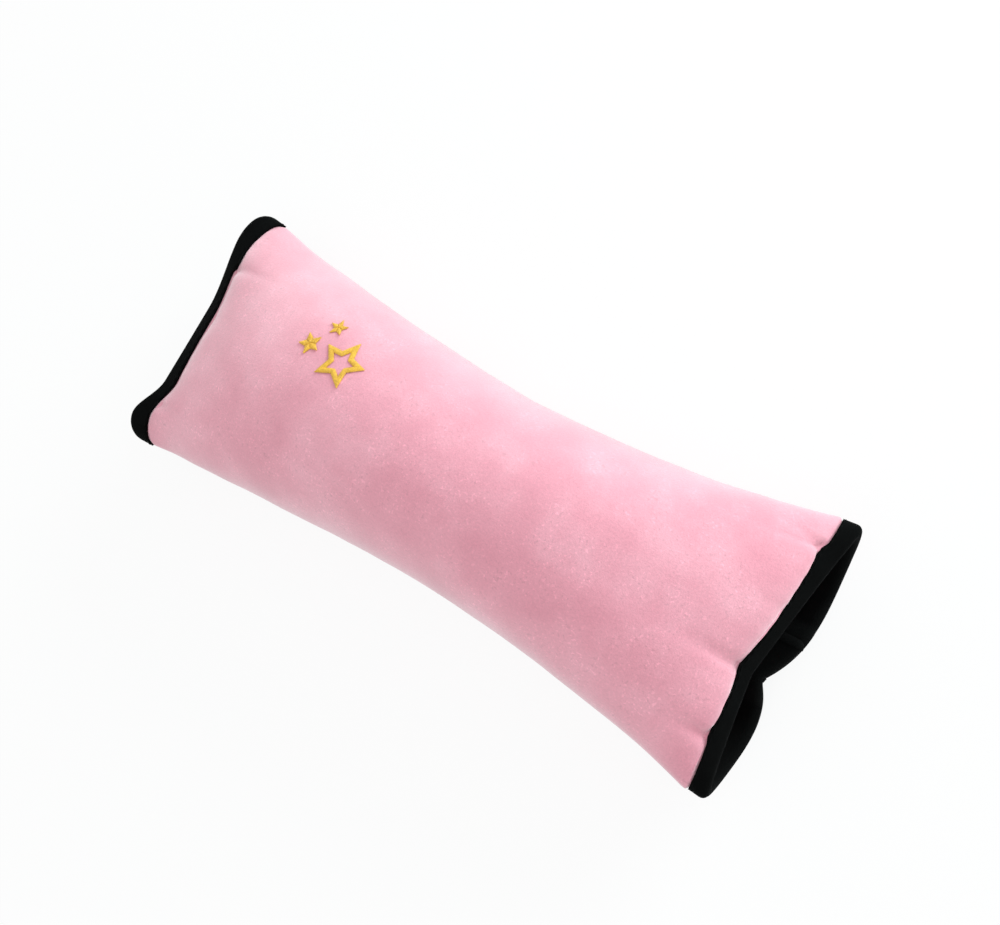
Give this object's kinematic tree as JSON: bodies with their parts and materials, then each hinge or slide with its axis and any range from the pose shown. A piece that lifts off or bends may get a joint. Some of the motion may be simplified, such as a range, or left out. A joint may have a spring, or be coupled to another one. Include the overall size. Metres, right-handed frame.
{
  "type": "seat belt shoulder pad",
  "caption": "Stuffed plush pad that wraps round a seat belt's shoulder strap: a waisted pillow with black bound ends, an overlapping flap closure behind, and embroidered stars.",
  "frame": {"origin": "centre of the pad's footprint, on the surface that its back rests on", "axes": "+X along the belt, towards the right end; +Z out of the padded front, which faces away from the wearer's belt; +Y across the pad, towards the outer flap's side"},
  "size_m": [0.3066, 0.1183, 0.078],
  "materials": {
    "pink_plush": "matte short pile",
    "pink_lining": "matte knit",
    "white_fibre": "matte fibre",
    "black_binding": "woven tape",
    "black_hook_and_loop": "matte",
    "yellow_thread": "satin thread"
  },
  "bodies": {
    "root": {"outer_cover": "pink_plush", "inner_lining": "pink_lining", "fibre_filling": "white_fibre", "end_binding_left": "black_binding", "end_binding_right": "black_binding", "hook_tape": "black_hook_and_loop", "loop_tape": "black_hook_and_loop", "embroidered_star_large": "yellow_thread", "embroidered_star_medium": "yellow_thread", "embroidered_star_small": "yellow_thread"}
  },
  "joints": []
}
